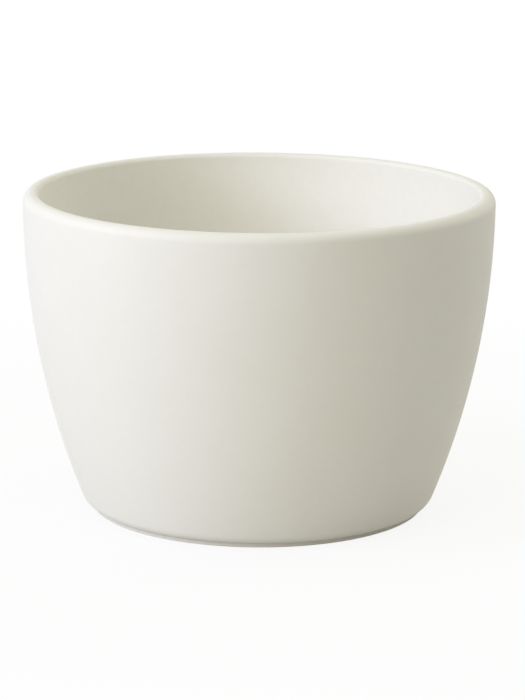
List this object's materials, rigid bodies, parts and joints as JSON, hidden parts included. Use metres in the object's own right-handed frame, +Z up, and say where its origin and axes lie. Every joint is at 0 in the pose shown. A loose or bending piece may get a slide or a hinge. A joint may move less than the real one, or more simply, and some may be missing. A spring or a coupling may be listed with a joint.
{
  "type": "latte bowl",
  "caption": "Handleless round ceramic bowl for milky coffee, with a rounded lip, gently curved side, soft heel and bare foot ring.",
  "frame": {"origin": "middle of the foot ring, on the table", "axes": "+Z up along the bowl's axis, out of its mouth; X and Y are any two level directions"},
  "size_m": [0.11, 0.11, 0.075],
  "materials": {
    "bare_clay": "pale fired clay, wiped bare, fine and dry",
    "ivory_glaze": "satin ivory glaze"
  },
  "bodies": {
    "root": {"clay_body": "bare_clay", "glaze_coat": "ivory_glaze", "base_glaze": "ivory_glaze"}
  },
  "joints": []
}
